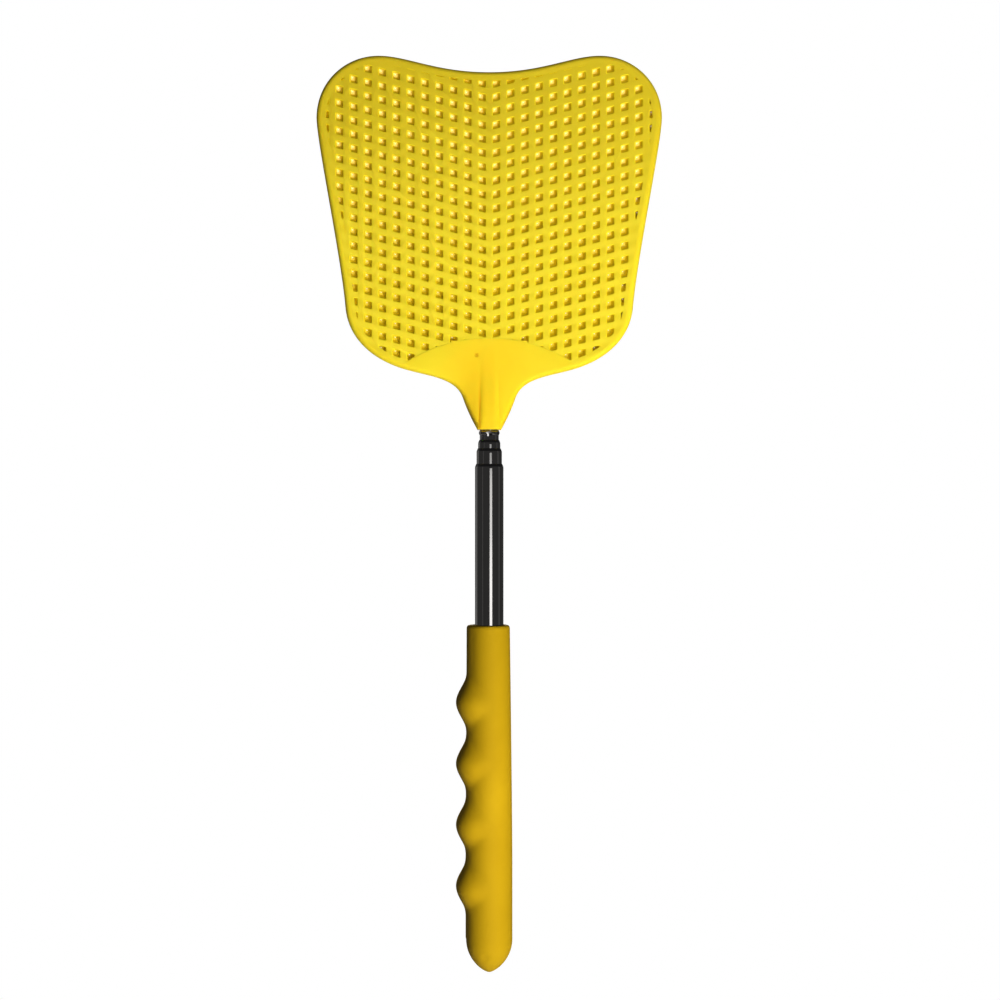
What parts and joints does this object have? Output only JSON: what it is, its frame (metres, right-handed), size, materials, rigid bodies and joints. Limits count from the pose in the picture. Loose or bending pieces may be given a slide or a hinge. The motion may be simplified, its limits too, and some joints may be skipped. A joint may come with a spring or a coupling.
{
  "type": "telescopic fly swatter",
  "caption": "Hand fly swatter: a perforated plastic flap on a telescopic steel tube, with a soft grip that has finger ridges.",
  "frame": {"origin": "on the shaft axis at the middle of the grip, where a hand holds it", "axes": "+Z along the shaft towards the flap; -Y out of the flap's front face; -X towards the finger ridges"},
  "size_m": [0.109, 0.0148, 0.289],
  "materials": {
    "flap": "moulded, satin",
    "tube": "polished dark chrome",
    "brass": "drawn",
    "plug": "turned",
    "grip": "soft touch, matt"
  },
  "bodies": {
    "handle": {"grip": "grip", "tube_section_1": "tube", "base_plug": "plug"},
    "sleeve_2": {"friction_sleeve_2": "brass"},
    "section_2": {"tube_section_2": "tube"},
    "sleeve_3": {"friction_sleeve_3": "brass"},
    "section_3": {"tube_section_3": "tube"},
    "sleeve_4": {"friction_sleeve_4": "brass"},
    "swatter_end": {"tube_section_4": "tube", "flap_stud": "plug", "flap": "flap"}
  },
  "joints": [
    {"name": "extend_2", "type": "slide", "parent": "handle", "child": "sleeve_2", "axis": [0, 0, 1], "range_m": [0, 0.1333]},
    {"name": "turn_2", "type": "hinge", "parent": "sleeve_2", "child": "section_2", "pos_m": [0, 0, 0], "axis": [0, 0, 1], "continuous": true},
    {"name": "extend_3", "type": "slide", "parent": "section_2", "child": "sleeve_3", "axis": [0, 0, 1], "range_m": [0, 0.1299]},
    {"name": "turn_3", "type": "hinge", "parent": "sleeve_3", "child": "section_3", "pos_m": [0, 0, 0], "axis": [0, 0, 1], "continuous": true},
    {"name": "extend_4", "type": "slide", "parent": "section_3", "child": "sleeve_4", "axis": [0, 0, 1], "range_m": [0, 0.1243]},
    {"name": "turn_4", "type": "hinge", "parent": "sleeve_4", "child": "swatter_end", "pos_m": [0, 0, 0], "axis": [0, 0, 1], "continuous": true}
  ]
}
